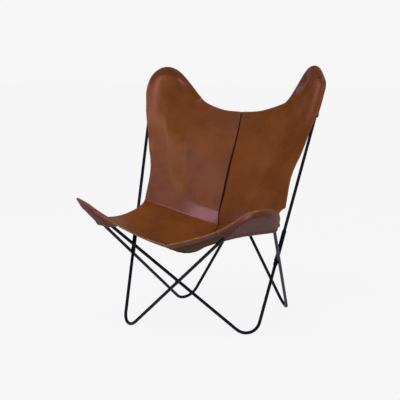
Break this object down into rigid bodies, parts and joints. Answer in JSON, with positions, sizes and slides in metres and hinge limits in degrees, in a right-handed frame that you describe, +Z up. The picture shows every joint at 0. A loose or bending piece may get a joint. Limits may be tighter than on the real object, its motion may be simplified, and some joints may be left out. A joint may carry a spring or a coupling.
{
  "type": "butterfly sling lounge chair",
  "caption": "Low butterfly lounge chair: a brown leather sling hung by corner pockets from a folded black steel rod frame.",
  "frame": {"origin": "on the floor, under the middle of the chair's bounding box", "axes": "+Z up, -Y the way the sitter faces, +X to the right as seen from the front"},
  "size_m": [0.705, 0.7878, 0.8805],
  "materials": {
    "leather": "satin",
    "painted_rod": "satin",
    "screw_steel": "satin"
  },
  "bodies": {
    "root": {"back_panel_left": "leather", "back_panel_right": "leather", "seat_panel_left": "leather", "seat_panel_right": "leather", "back_pocket_left": "leather", "back_pocket_right": "leather", "front_pocket_left": "leather", "front_pocket_right": "leather", "base_rod_left": "painted_rod", "base_rod_right": "painted_rod", "back_hoop_left": "painted_rod", "back_hoop_right": "painted_rod", "side_left_sleeve": "painted_rod", "side_right_sleeve": "painted_rod", "back_left_sleeve": "painted_rod", "back_right_sleeve": "painted_rod", "front_weld": "painted_rod", "back_weld": "painted_rod", "side_left_set_screw": "screw_steel", "side_right_set_screw": "screw_steel", "back_left_set_screw": "screw_steel", "back_right_set_screw": "screw_steel"}
  },
  "joints": []
}
